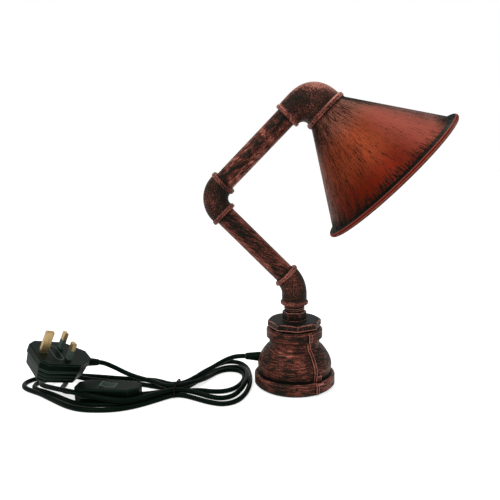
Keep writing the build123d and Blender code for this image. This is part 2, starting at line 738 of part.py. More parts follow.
def switch_rocker():
    """Rocker with two wings, tilted to the side that is switched on."""
    half = ROCKER_L / 2
    side = Polyline(
        (-half, -ROCKER_DROP), (half, -ROCKER_DROP), (half, ROCKER_RISE), (0, ROCKER_RISE - ROCKER_DISH),
        (-half, ROCKER_RISE), close=True)
    profile = Plane.XZ * make_face(side)
    body = Pos(0, ROCKER_W / 2, PIVOT_H) * extrude(profile, ROCKER_W)
    body += rocker_pin(0, 0)
    pivot = Axis((0, 0, PIVOT_H), (0, 1, 0))
    return SWITCH.location * body.rotate(pivot, ROCKER_TILT)


def switch_screws():
    screws = []
    for x, y in screw_spots():
        head = rod(SWITCH_SCREW_HEAD_R, 0, SWITCH_SCREW_HEAD_T)
        shank = rod(SWITCH_SCREW_R, SWITCH_SCREW_HEAD_T, SWITCH_SCREW_L)
        screws.append(SWITCH.location * Pos(x, y, 0) * (head + shank))
    return Compound(children=screws)


def switch_contacts():
    """Two brass blades on the floor of the switch under the rocker's ends."""
    blades = []
    for side in (-1, 1):
        centre = (side * (ROCKER_L / 2 - 1), 0, SWITCH_WALL + BLADE[2] / 2)
        blades.append(box(BLADE, centre, SWITCH))
    return Compound(children=blades)


# ------------------------------------------ cord outside the lamp
def free_cord(points, name):
    """Round cord through hand-laid points, each bend as wide as its two runs allow."""
    runs = [(Vector(b) - Vector(a)) for a, b in zip(points, points[1:])]
    radii = []
    for before, after in zip(runs, runs[1:]):
        half_turn = radians(before.get_angle(after) / 2)
        radii.append(0.45 * min(before.length, after.length) / tan(half_turn))
    path = FilletPolyline(*points, radius=radii)
    start = Plane(origin=path @ 0, z_dir=path % 0)
    cord = sweep(start * Circle(CORD_R), path)
    print(name, "radii", [round(radius, 1) for radius in radii])
    print(name, "volume over section times length", cord.volume / (path.length * pi * CORD_R ** 2))
    return cord


CORD_FROM_BASE = [
    (GRIP_TIP_X, 0, GRIP_H),
    (GRIP_TIP_X - 7.8, 0, GRIP_H),
    (-70.5, 3, 24.5),
    (-81.5, 6.5, 17.5),
    (-92, 3.5, 11.5),
    (-100.5, -5, 8.7),
    (-107, -15, 7.7)]
PLUG_TIP = (PLUG.location * Pos(PLUG_NOSE_X + GUARD_L, 0, -PLUG_FACE_T)).position
CORD_TO_PLUG = [
    PLUG_TIP,
    PLUG_TIP + PLUG.x_dir * 18,
    (-178, -14, 16),
    (-161, -20, 11),
    (-146, -27, 8)]
HANK_EDGE = [
    (-119, -28.5), (-101, 6), (-86, 36), (-71, 46), (-58, 35), (-49, 14), (-45, -8), (-45.3, -30),
    (-51, -56), (-65, -67.5), (-82, -63), (-100, -55), (-119, -49), (-137, -63), (-152, -76),
    (-174, -88), (-205, -90), (-232, -76), (-258, -57), (-280, -43), (-288, -27), (-274, -9),
    (-235, 0), (-190, -6), (-152, -14)]
HANK_EYE = [(-101, -19), (-91, -3), (-78, 14), (-65, 16), (-58, 2), (-59, -17), (-68, -32), (-85, -33)]
MOUND_EDGE = [(-258, -52), (-244, -30), (-224, -36), (-220, -56), (-234, -74), (-252, -68)]


def cord_from_base():
    return free_cord(CORD_FROM_BASE, "cord_from_base")


def cord_to_plug():
    return free_cord(CORD_TO_PLUG, "cord_to_plug")


def switch_cord(side):
    """Short straight length of cord through one end of the switch."""
    place = Plane(origin=(side * SWITCH_L / 2, 0, SWITCH_BASE_H), x_dir=(0, 1, 0), z_dir=(side, 0, 0))
    return SWITCH.location * rod(CORD_R, -SWITCH_CORD_IN, SWITCH_CORD_OUT, place)


def cord_into_switch():
    return switch_cord(1)


def cord_out_of_switch():
    return switch_cord(-1)


def cord_hank():
    """Tied hank: a loop with an open eye, a flat bunch, and turns heaped up under the plug."""
    hank = extrude(make_face(Spline(*HANK_EDGE, periodic=True)), HANK_H)
    hank -= extrude(make_face(Spline(*HANK_EYE, periodic=True)), HANK_H)
    hank += extrude(make_face(Spline(*MOUND_EDGE, periodic=True)), MOUND_H)
    hank = Pos(0, 0, TIE_T) * hank
    hank -= SWITCH.location * extrude(switch_plan(-AIR), SWITCH_TOP + AIR)
    over_plug = PLUG_BACK_T + PLUG_FACE_T + AIR
    return hank - PLUG.location * Pos(0, 0, -over_plug) * extrude(plug_outline(-AIR), 3 * over_plug)


def cord_tie():
    """Twist tie round the waist of the hank."""
    strap = box((TIE_W, TIE_SPAN, HANK_H + 2 * TIE_T), TIE_AT)
    strap = fillet(strap.edges().filter_by(Axis.X), TIE_T)
    return strap - cord_hank()


NODES = {
    "base_casting": base_casting,
    "base_plate": base_plate,
    "foot_pad": foot_pad,
    "octagon_bushing": octagon_bushing,
    "hex_nipple": hex_nipple,
    "cord_grip": cord_grip,
    "flex_in_base": flex_in_base,
    "elbow_45": elbow_45,
    "lower_pipe": lower_pipe,
    "flex_in_lower_arm": flex_in_lower_arm,
    "elbow_90": elbow_90,
    "upper_pipe": upper_pipe,
    "flex_in_upper_arm": flex_in_upper_arm,
    "reducing_elbow": reducing_elbow,
    "flex_in_head": flex_in_head,
    "carrier_disc": carrier_disc,
    "carrier_tube": carrier_tube,
    "carrier_locknut": carrier_locknut,
    "shade_collar": shade_collar,
    "shade": shade,
    "holder_cap": holder_cap,
    "holder_core": holder_core,
    "holder_skirt": holder_skirt,
    "screw_shell": screw_shell,
    "centre_contact": centre_contact,
    "cord_from_base": cord_from_base,
    "cord_hank": cord_hank,
    "cord_tie": cord_tie,
    "cord_into_switch": cord_into_switch,
    "cord_out_of_switch": cord_out_of_switch,
    "cord_to_plug": cord_to_plug,
    "switch_base": switch_base,
    "switch_cover": switch_cover,
    "switch_rocker": switch_rocker,
    "switch_screws": switch_screws,
    "switch_contacts": switch_contacts,
    "plug_face": plug_face,
    "plug_back": plug_back,
    "plug_guard": plug_guard,
    "earth_pin": earth_pin,
    "power_pins": power_pins,
    "pin_sleeves": pin_sleeves,
    "fuse_drawer": fuse_drawer,
    "fuse": fuse,
}

os.makedirs("parts", exist_ok=True)
for name, make in NODES.items():
    export_step(make(), "parts/" + name + ".step")
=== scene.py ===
import json
from math import atan2, cos, pi, radians, sin, sqrt, tan

import bmesh
import bpy
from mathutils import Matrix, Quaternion, Vector


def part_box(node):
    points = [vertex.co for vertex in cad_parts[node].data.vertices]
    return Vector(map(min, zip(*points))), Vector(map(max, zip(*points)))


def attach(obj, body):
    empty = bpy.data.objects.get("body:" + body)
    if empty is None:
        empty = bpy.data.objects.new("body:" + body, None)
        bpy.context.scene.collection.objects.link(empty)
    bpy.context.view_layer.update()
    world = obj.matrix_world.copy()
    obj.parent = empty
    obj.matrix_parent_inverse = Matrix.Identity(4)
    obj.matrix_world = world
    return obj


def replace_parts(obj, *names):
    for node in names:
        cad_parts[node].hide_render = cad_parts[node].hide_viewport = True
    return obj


# Looks of the pipe table lamp. Metres, in the same frame as the CAD: Z up, X from the cord side
# towards the shade, Y away from the camera.

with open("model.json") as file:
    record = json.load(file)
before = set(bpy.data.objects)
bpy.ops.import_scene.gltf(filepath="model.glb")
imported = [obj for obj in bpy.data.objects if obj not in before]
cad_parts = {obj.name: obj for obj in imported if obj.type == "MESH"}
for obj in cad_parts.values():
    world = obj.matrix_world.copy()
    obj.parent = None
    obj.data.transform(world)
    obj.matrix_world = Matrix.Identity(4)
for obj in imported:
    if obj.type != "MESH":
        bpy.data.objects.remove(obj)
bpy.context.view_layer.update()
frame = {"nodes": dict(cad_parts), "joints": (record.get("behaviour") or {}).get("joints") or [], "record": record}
NODES = frame["nodes"]
JOINTS = {joint["name"]: joint for joint in frame["joints"]}
MOUNTS = {mount["name"]: mount for mount in frame["record"]["mounts"]}

# ---- camera
CAMERA_AT = (0.0173, -0.5818, 0.2412)
CAMERA_LOOK = (-0.1062, 0.9806, -0.1646)
CAMERA_ROLL = -0.851    # degrees
LENS_MM = 41.23
SENSOR_MM = 36.0

# ---- ground and light
WHITE = (1, 1, 1, 1)
FLOOR_CORNERS = [(-4, -3, 0), (4, -3, 0), (4, 6, 0), (-4, 6, 0)]
FLOOR_GREY = (0.86, 0.86, 0.86, 1)
FLOOR_GLOW = 0.68       # added where the floor is seen, so that it reads as white
WORLD_SEEN = 1.0        # the background's strength where it is seen
WORLD_LIGHT = 0.42      # and as light on the lamp
SOFT_BOXES = [          # name, place, aim, width, height, watts
    ("key", (-0.55, -0.75, 0.95), (0, 0, 0.16), 0.55, 0.55, 6.0),
    ("fill", (0.85, -0.6, 0.55), (0, 0, 0.18), 0.5, 0.7, 2.0),
    ("top", (0.1, 0.15, 1.1), (0, 0, 0.1), 0.7, 0.5, 2.5),
]

# ---- pipework lines, from the joints
REACH = Vector((1, 0, 1)).normalized()      # along the upper pipe
LEAN = Vector((-1, 0, 1)).normalized()      # up along the lower pipe
DROP = -LEAN                                # along the shade
UP = Vector((0, 0, 1))
ACROSS = Vector((0, 1, 0))
PIPE_BEND = Vector(JOINTS["arm_twist"]["pos_m"])
HEAD_BEND = Vector(JOINTS["head_twist"]["pos_m"])
FOOT_BEND = PIPE_BEND + DROP * (-PIPE_BEND.x / DROP.x)

# ---- fittings; a leg runs from the corner to the face
BEAD_R = 0.01435        # the half-inch band
BEAD_W = 0.0046
BEAD_EDGE = 0.0012
LARGE_BEAD_R = 0.0233   # the band over the shade
LARGE_BEAD_W = 0.006
LARGE_BEAD_EDGE = 0.0015
BODY_R = 0.0129
MOUTH_R = 0.0112
SOCKET_R = 0.0107
LARGE_SOCKET_R = 0.0167
FITTING_WALL = 0.0026
BEND_45 = 0.026         # radius of the low elbow's bend
LEG_45 = 0.022
LEG_OUT_45 = 0.014      # on the pipe's side, as the photograph has it
LEG_90 = 0.0248
LEG_SMALL = 0.031       # the reducing elbow's two legs
LEG_LARGE = 0.0266
CROWN_SMALL_R = 0.0136  # its body at the small band and at the large one
CROWN_LARGE_R = 0.0208
CROWN_FULL = 0.0025     # how far its crown swells past an even growth
CROWN_LATE = 1.15       # above 1, the swell is fullest past the middle of the bend
WIDEN_FROM = 0.32       # share of the bend where its sides start to widen
WIDEN_OVER = 0.55       # share of the bend that they take
LOW_RINGS = 18
HEAD_RINGS = 30
RING_TURNS = 64
FITTING_CREASE = radians(35)

# ---- shade, along its axis from the reducing elbow's face
SHADE_FACE = HEAD_BEND + DROP * LEG_LARGE
NECK_ZONE = (0.002, 0.036)      # darker and paler paint fades out here
SHEEN_ZONE = (0.015, 0.04)      # the painted sheen's pink fades in on the high side
RED_ZONE = (0.045, 0.075)       # orange turns to red
RIM_ZONE = (0.073, 0.0845)      # darkens towards the cove
COVE_EDGE = (0.0839, 0.0848)
LIP_EDGE = (0.0860, 0.0864)
# on the lip: a painted highlight on the crown and the lower turn, painted shade at the back
LIP_CROWN_END = (0.0869, 0.0875)
LIP_LOWER_START = (0.0883, 0.0888)
LIP_BACK_START = (0.0898, 0.0903)
LIP_OUTER_R = (0.0813, 0.0819)  # the lip's outside face, as against the shade's inside
FINE_BRUSH = (150.0, 0.007)     # how close the strokes lie round the shade, and their length
BROAD_BRUSH = (13.0, 0.03)

# ---- cord
CORD_D = 0.005
LAMP_CORD_ROUTE = [
    (-0.0522, 0.0000, 0.0285), (-0.0600, 0.0000, 0.0285), (-0.0705, 0.0030, 0.0245),
    (-0.0815, 0.0065, 0.0175), (-0.0920, 0.0035, 0.0115), (-0.1005, -0.0050, 0.0087),
    (-0.1070, -0.0150, 0.0077), (-0.1115, -0.0245, 0.0079), (-0.1185, -0.0310, 0.0080),
    (-0.1280, -0.0315, 0.0076), (-0.1380, -0.0240, 0.0068), (-0.1490, -0.0155, 0.0050),
    (-0.1640, -0.0110, 0.0032), (-0.1870, -0.0080, 0.0026), (-0.2120, -0.0050, 0.0026),
    (-0.2370, -0.0025, 0.0026), (-0.2590, -0.0050, 0.0026), (-0.2730, -0.0090, 0.0026),
    (-0.2840, -0.0175, 0.0026), (-0.2880, -0.0290, 0.0026), (-0.2825, -0.0400, 0.0026),
    (-0.2710, -0.0470, 0.0026), (-0.2580, -0.0535, 0.0026), (-0.2450, -0.0625, 0.0026),
    (-0.2320, -0.0715, 0.0026), (-0.2180, -0.0805, 0.0026), (-0.2040, -0.0860, 0.0026),
    (-0.1900, -0.0870, 0.0026), (-0.1750, -0.0855, 0.0026), (-0.1620, -0.0815, 0.0026),
    (-0.1505, -0.0745, 0.0026), (-0.1395, -0.0650, 0.0026), (-0.1290, -0.0550, 0.0028),
    (-0.1200, -0.0480, 0.0033), (-0.1090, -0.0475, 0.0029), (-0.0970, -0.0530, 0.0026),
    (-0.0820, -0.0610, 0.0026), (-0.0670, -0.0650, 0.0026), (-0.0545, -0.0570, 0.0026),
    (-0.0483, -0.0400, 0.0026), (-0.0463, -0.0200, 0.0026), (-0.0473, 0.0000, 0.0026),
    (-0.0505, 0.0180, 0.0030), (-0.0550, 0.0330, 0.0036), (-0.0645, 0.0450, 0.0042),
    (-0.0780, 0.0465, 0.0044), (-0.0880, 0.0365, 0.0044), (-0.0960, 0.0230, 0.0042),
    (-0.1030, 0.0090, 0.0040), (-0.1080, -0.0050, 0.0038), (-0.1125, -0.0165, 0.0035),
    (-0.1195, -0.0265, 0.0032), (-0.1300, -0.0310, 0.0030), (-0.1430, -0.0285, 0.0028),
    (-0.1570, -0.0235, 0.0027), (-0.1720, -0.0205, 0.0026), (-0.1900, -0.0185, 0.0026),
    (-0.2080, -0.0165, 0.0028), (-0.2240, -0.0145, 0.0036), (-0.2380, -0.0135, 0.0058),
    (-0.2500, -0.0150, 0.0078), (-0.2610, -0.0230, 0.0082), (-0.2655, -0.0350, 0.0085),
    (-0.2600, -0.0470, 0.0093), (-0.2470, -0.0545, 0.0103), (-0.2310, -0.0625, 0.0116),
    (-0.2140, -0.0710, 0.0130), (-0.1980, -0.0760, 0.0124), (-0.1800, -0.0780, 0.0102),
    (-0.1630, -0.0780, 0.0088), (-0.1500, -0.0715, 0.0084), (-0.1390, -0.0615, 0.0084),
    (-0.1290, -0.0520, 0.0082), (-0.1190, -0.0452, 0.0080), (-0.1070, -0.0435, 0.0064),
    (-0.0950, -0.0440, 0.0040), (-0.0830, -0.0485, 0.0027), (-0.0710, -0.0515, 0.0026),
    (-0.0600, -0.0470, 0.0034), (-0.0535, -0.0360, 0.0054), (-0.0505, -0.0220, 0.0072),
    (-0.0498, -0.0080, 0.0076), (-0.0510, 0.0070, 0.0074), (-0.0555, 0.0205, 0.0060),
    (-0.0650, 0.0310, 0.0042), (-0.0785, 0.0320, 0.0030), (-0.0885, 0.0225, 0.0027),
    (-0.0960, 0.0090, 0.0028), (-0.1015, -0.0050, 0.0029), (-0.1060, -0.0180, 0.0030),
    (-0.1120, -0.0285, 0.0031), (-0.1205, -0.0360, 0.0033), (-0.1300, -0.0410, 0.0036),
    (-0.1375, -0.0480, 0.0052), (-0.1435, -0.0560, 0.0074), (-0.1505, -0.0595, 0.0080),
    (-0.1585, -0.0595, 0.0080),
]
PLUG_CORD_ROUTE = [
    (-0.2090, -0.0595, 0.0080), (-0.2200, -0.0595, 0.0080), (-0.2310, -0.0575, 0.0078),
    (-0.2375, -0.0480, 0.0070), (-0.2395, -0.0360, 0.0052), (-0.2425, -0.0245, 0.0034),
    (-0.2510, -0.0165, 0.0026), (-0.2630, -0.0150, 0.0026), (-0.2725, -0.0220, 0.0026),
    (-0.2750, -0.0335, 0.0026), (-0.2685, -0.0430, 0.0026), (-0.2560, -0.0480, 0.0026),
    (-0.2420, -0.0555, 0.0026), (-0.2280, -0.0650, 0.0027), (-0.2130, -0.0740, 0.0030),
    (-0.1970, -0.0780, 0.0036), (-0.1800, -0.0775, 0.0042), (-0.1640, -0.0755, 0.0040),
    (-0.1515, -0.0680, 0.0036), (-0.1405, -0.0585, 0.0033), (-0.1300, -0.0490, 0.0033),
    (-0.1190, -0.0420, 0.0033), (-0.1070, -0.0370, 0.0036), (-0.0940, -0.0345, 0.0032),
    (-0.0810, -0.0360, 0.0027), (-0.0690, -0.0335, 0.0026), (-0.0600, -0.0245, 0.0026),
    (-0.0555, -0.0120, 0.0026), (-0.0540, 0.0020, 0.0026), (-0.0560, 0.0150, 0.0026),
    (-0.0640, 0.0250, 0.0026), (-0.0770, 0.0260, 0.0026), (-0.0865, 0.0170, 0.0027),
    (-0.0920, 0.0040, 0.0032), (-0.0965, -0.0090, 0.0048), (-0.1025, -0.0215, 0.0070),
    (-0.1105, -0.0315, 0.0082), (-0.1205, -0.0385, 0.0083), (-0.1325, -0.0375, 0.0082),
    (-0.1460, -0.0270, 0.0080), (-0.1610, -0.0200, 0.0080), (-0.1775, -0.0140, 0.0100),
    (-0.1930, -0.0125, 0.0170), (-0.2026, -0.0205, 0.0253), (-0.2061, -0.0246, 0.0269),
]
CORD_STEPS = {"smooth": 6, "sides": 5}

# ---- tie round the hank
TIE_X = -0.119
TIE_WIRE_D = 0.0018
TIE_LOOP = [
    (TIE_X, -0.0400, 0.0118), (TIE_X, -0.0300, 0.0122), (TIE_X, -0.0235, 0.0100),
    (TIE_X, -0.0235, 0.0016), (TIE_X, -0.0320, 0.0010), (TIE_X, -0.0450, 0.0010),
    (TIE_X, -0.0520, 0.0016), (TIE_X, -0.0520, 0.0100), (TIE_X, -0.0440, 0.0122)]
TIE_ENDS = [(TIE_X, -0.0405, 0.0118), (TIE_X + 0.0008, -0.0420, 0.0136),
            (TIE_X + 0.0002, -0.0445, 0.0146), (TIE_X - 0.0010, -0.0470, 0.0140)]
WIRE_STEPS = {"smooth": 8, "sides": 3}

# ---- thread on the nipple
HALF_INCH_PITCH = 0.001814
NIPPLE_THREAD_R = 0.01075
THREAD_DEPTH = 0.0009
THREAD_L = 0.0066       # below the low elbow's face
THREAD_GAP = 0.0002     # left under that face
THREAD_HALF = 0.45      # half the ridge's width, as a share of the pitch
THREAD_END = 0.05       # what is left of the ridge at its two ends
THREAD_STEPS = 40       # in a turn
THREAD_CREASE = radians(60)

# ---- plug's side: the parting line and two grooves, their lips painted as highlights
PIN_WAY = Vector(MOUNTS["mains_pins"]["axis"]).normalized()
PLUG_FACE = Vector(MOUNTS["mains_pins"]["pos_m"]).dot(PIN_WAY)
PLUG_LINES = [(0.0090, 0.0007), (0.0140, 0.0004), (0.0175, 0.0004)]     # below the face, half width
GROOVE_DEPTH = 4.0      # as against the plastic's grain

# ---- colours, sRGB 0 to 255
BASE_BLACK = (12, 13, 10)
COPPER_RED = (76, 40, 31)
ELBOW_RED = (64, 36, 28)
BRIGHT_RED = (138, 70, 57)
PALE_PINK = (192, 130, 116)
SHADE_DEEP = (70, 26, 14)
SHADE_RED = (100, 22, 4)
SHADE_ORANGE = (132, 56, 30)
SHADE_NECK = (134, 100, 88)
SHADE_SHEEN = (134, 60, 46)
LIP_RED = (84, 8, 6)
LIP_HIGHLIGHT = (142, 78, 64)
PLASTIC_BLACK = (4, 12, 7)
# the rocker's lighter black is a painted highlight on its lit flanks
ROCKER_LIT_BLACK = (26, 40, 32)
# lighter edges on the plastics are partly wear and partly a painted highlight; groove lips are a painted highlight
PLASTIC_WEAR_AND_HIGHLIGHT = (84, 100, 90)
TIE_BLACK = (16, 17, 17)
HOLDER_BLACK = (24, 24, 24)
RUBBER_BLACK = (20, 20, 20)
FUSE_CREAM = (222, 214, 192)
STEEL_GREY = (190, 190, 184)
BRASS = (178, 152, 106)

# ---- how surfaces take light; the two tints are linear
GREEN_SHEEN = (0.62, 0.95, 0.74, 1.0)
OIL_SHEEN = (0.85, 1.0, 0.88, 1.0)
IRON_SPECULAR = 0.08
SHADE_SPECULAR = 0.04
PLASTIC_SPECULAR = 0.035
PAINT_METAL = 0.3           # how metallic the red paint is
IRON_ROUGH = (0.58, 0.42)   # roughness of the black and of the red
SHADE_ROUGH = (0.85, 0.4)
IRON_RELIEF = 0.0006        # how deep the bumps are taken to be
SHADE_RELIEF = 0.0005
FINE_RELIEF = 0.0002

# ---- dry brushing: a spot is red where its total passes a level that falls as cover grows
HALF_COVER_LEVEL = 0.56
COVER_SPAN = 0.3
STREAKS_AND_SPECKS = 0.9    # their two weights together
CLOUD_WEIGHT = 0.22
EDGE_WEIGHT = 0.2
# hollows take less red: bare black there, and painted shade
HOLLOW_WEIGHT = 0.14
EDGE_REACH = 0.0012
HOLLOW_REACH = 0.006
BRIGHT_ABOVE = (0.01, 0.10) # past that level, the red brightens and then pales
PALE_ABOVE = (0.06, 0.15)
PALE_SHARE = 0.7
TOPS_FULL = 0.95            # how level a face is for the whole of tops
BEAD_REDDER = 0.055         # how much more the bands are rubbed
BEAD_FADE = 0.0002
OCCLUSION_SAMPLES = 6


def linear(colour):
    """Linear RGBA from an sRGB colour of 0 to 255."""
    channels = [c / 255 for c in colour]
    return [c / 12.92 if c <= 0.04045 else ((c + 0.055) / 1.055) ** 2.4 for c in channels] + [1.0]


def scaled(colour, factor):
    """Linear RGBA of a colour made lighter or darker."""
    return [channel * factor for channel in linear(colour)[:3]] + [1.0]


# ---------------------------------------------------------------- materials
class Graph:
    """The nodes of a material or a world, written in few words."""

    def __init__(self, owner):
        owner.use_nodes = True
        self.owner = owner
        self.tree = owner.node_tree
        self.tree.nodes.clear()

    def node(self, kind, inputs=None, **settings):
        made = self.tree.nodes.new("ShaderNode" + kind)
        for key, value in settings.items():
            setattr(made, key, value)
        for key, value in (inputs or {}).items():
            self.feed(made.inputs[key], value)
        return made

    def feed(self, socket, value):
        if isinstance(value, bpy.types.NodeSocket):
            self.tree.links.new(value, socket)
        else:
            socket.default_value = value

    def maths(self, operation, *values):
        return self.node("Math", dict(enumerate(values)), operation=operation).outputs[0]

    def times(self, a, b):
        return self.maths("MULTIPLY", a, b)

    def rest(self, value):
        """What the value leaves of 1."""
        return self.maths("SUBTRACT", 1.0, value)

    def weigh(self, *parts):
        """The sum of values, each times its weight."""
        total = 0.0
        for value, weight in parts:
            total = self.maths("MULTIPLY_ADD", value, weight, total)
        return total

    def place(self):
        return self.node("TexCoord").outputs["Object"]

    def place_from(self, origin):
        return self.node("VectorMath", {0: self.place(), 1: tuple(origin)},
                         operation="SUBTRACT").outputs[0]

    def along(self, point, direction):
        return self.node("VectorMath", {0: point, 1: tuple(direction)},
                         operation="DOT_PRODUCT").outputs["Value"]

    def noise(self, vector, scale=1.0, detail=4.0, rough=0.6):
        return self.node("TexNoise", {"Vector": vector, "Scale": scale, "Detail": detail,
                                      "Roughness": rough}).outputs["Fac"]

    def ramp(self, value, low, high):
        """0 up to low, 1 from high on, smooth between."""
        return self.node("MapRange", {"Value": value, "From Min": low, "From Max": high},
                         interpolation_type="SMOOTHSTEP").outputs["Result"]

    def spread(self, value, at_none, at_full):
        """Takes a value of 0 to 1 to a range."""
        return self.node("MapRange", {"Value": value, "To Min": at_none,
                                      "To Max": at_full}).outputs["Result"]

    def mix(self, factor, a, b):
        return self.node("Mix", {0: factor, 6: a, 7: b}, data_type="RGBA").outputs[2]

    def bump(self, height, strength, distance):
        return self.node("Bump", {"Height": height, "Strength": strength,
                                  "Distance": distance}).outputs[0]

    def show(self, surface, output="OutputMaterial"):
        self.tree.links.new(surface, self.node(output).inputs["Surface"])
        return self.owner

    def finish(self, **inputs):
        """Ends in the principled shader; an underscore in an input's name stands for a space."""
        named = {key.replace("_", " "): value for key, value in inputs.items()}
        return self.show(self.node("BsdfPrincipled", named).outputs[0])


def round_frame(graph, origin, axis, twist=0.0):
    """Coordinates about an axis: two across it and one along it, turning by twist per metre."""
    side = axis.cross(ACROSS).normalized()
    point = graph.place_from(origin)
    u, v, w = (graph.along(point, way) for way in (side, axis.cross(side), axis))
    if not twist:
        return u, v, w
    angle = graph.times(w, twist)
    c, s = graph.maths("COSINE", angle), graph.maths("SINE", angle)
    turned_u = graph.maths("SUBTRACT", graph.times(u, c), graph.times(v, s))
    turned_v = graph.maths("ADD", graph.times(u, s), graph.times(v, c))
    return turned_u, turned_v, w


def stretched(graph, coordinates, across, along):
    """A texture vector: streaks run along the axis where along is small, round it where large."""
    u, v, w = coordinates
    return graph.node("CombineXYZ", {0: graph.times(u, across), 1: graph.times(v, across),
                                     2: graph.times(w, along)}).outputs[0]


def bead_at(corner, way, leg, width=BEAD_W):
    """The zone of a fitting's band, which takes more red."""
    return corner, way, leg - width, leg + BEAD_FADE, BEAD_FADE, BEAD_REDDER


def edge_light(graph, reach):
    """1 on outer edges, 0 on flats and hollows: seen from inside, only an outer edge is closed in."""
    inside = graph.node("AmbientOcclusion", {"Distance": reach}, inside=True, only_local=True,
                        samples=OCCLUSION_SAMPLES).outputs["AO"]
    return graph.rest(graph.ramp(inside, 0.55, 0.97))


def hollows_unrubbed_and_shaded(graph, reach):
    """1 in crevices, 0 in the open: less red rubbed in there, and painted shade."""
    open_sky = graph.node("AmbientOcclusion", {"Distance": reach},
                          samples=OCCLUSION_SAMPLES).outputs["AO"]
    return graph.rest(graph.ramp(open_sky, 0.35, 0.95))


def dry_brushed(graph, total, cover, soft, red):
    """Colour and coverage of red rubbed over black where total is high; cover is the share rubbed."""
    level = HALF_COVER_LEVEL + (0.5 - cover) * COVER_SPAN
    mask = graph.ramp(total, level - soft, level + soft)
    bright = graph.ramp(total, *(level + above for above in BRIGHT_ABOVE))
    pale = graph.ramp(total, *(level + above for above in PALE_ABOVE))
    colour = graph.mix(mask, linear(BASE_BLACK), linear(red))
    colour = graph.mix(bright, colour, linear(BRIGHT_RED))
    return graph.mix(graph.times(pale, PALE_SHARE), colour, linear(PALE_PINK)), mask


def rubbed(name, origin, axis, across, along, cover, grain, bump, edges, twist=0.0, soft=0.05,
           speckle=0.28, red=COPPER_RED, tops=0.0, tops_from=0.7, bands=()):
    """Near-black paint dry-brushed with red copper: streaks, cast grain, bright edges, dark hollows with painted
    shade.

    across and along say how fine the streaks are across the axis and along it. tops darkens upward
    faces, or brightens them where negative, which is more rub and a painted highlight from above.
    bands are (origin, direction, near, far, fade, amount) of zones that take more red, or less where
    the amount is negative; the pipes use that for painted shade along one side.
    """
    graph = Graph(bpy.data.materials.new(name))
    lines = round_frame(graph, origin, axis, twist)
    streak = graph.noise(stretched(graph, lines, across, along), detail=6.0, rough=0.65)
    speck = graph.noise(graph.place(), grain, detail=5.0, rough=0.7)
    cloud = graph.noise(graph.place(), 45.0, detail=3.0, rough=0.5)
    parts = [(streak, STREAKS_AND_SPECKS - speckle), (speck, speckle), (cloud, CLOUD_WEIGHT),
             (edge_light(graph, EDGE_REACH), edges * EDGE_WEIGHT),
             (hollows_unrubbed_and_shaded(graph, HOLLOW_REACH), -HOLLOW_WEIGHT)]
    if tops:
        level = graph.along(graph.node("TexCoord").outputs["Normal"], UP)
        parts.append((graph.ramp(level, tops_from, TOPS_FULL), -tops))
    for start, way, near, far, fade, amount in bands:
        depth = graph.along(graph.place_from(start), way)
        inside = graph.times(graph.ramp(depth, near - fade, near + fade),
                             graph.rest(graph.ramp(depth, far - fade, far + fade)))
        parts.append((inside, amount))
    colour, mask = dry_brushed(graph, graph.weigh(*parts), cover, soft, red)
    height = graph.weigh((streak, 0.5), (speck, 0.5))
    return graph.finish(Base_Color=colour, Roughness=graph.spread(mask, *IRON_ROUGH),
                        Metallic=graph.times(mask, PAINT_METAL),
                        Specular_IOR_Level=IRON_SPECULAR, Specular_Tint=OIL_SHEEN,
                        Normal=graph.bump(height, bump, IRON_RELIEF))


def lip_colour(graph, w, speck):
    """The rolled lip: red, with a painted highlight on its crown and its lower turn and painted shade, black, at
    its back.
    """
    tone = graph.mix(graph.ramp(speck, 0.4, 0.62), linear(LIP_RED), linear(SHADE_RED))
    # painted highlights on the lip's crown and lower turn
    pale = graph.weigh((graph.rest(graph.ramp(w, *LIP_CROWN_END)), 0.7),
                       (graph.ramp(w, *LIP_LOWER_START), 0.7))
    tone = graph.mix(pale, tone, linear(LIP_HIGHLIGHT))
    # painted shade, black, on the lip's back
    return graph.mix(graph.ramp(w, *LIP_BACK_START), tone, linear(BASE_BLACK))


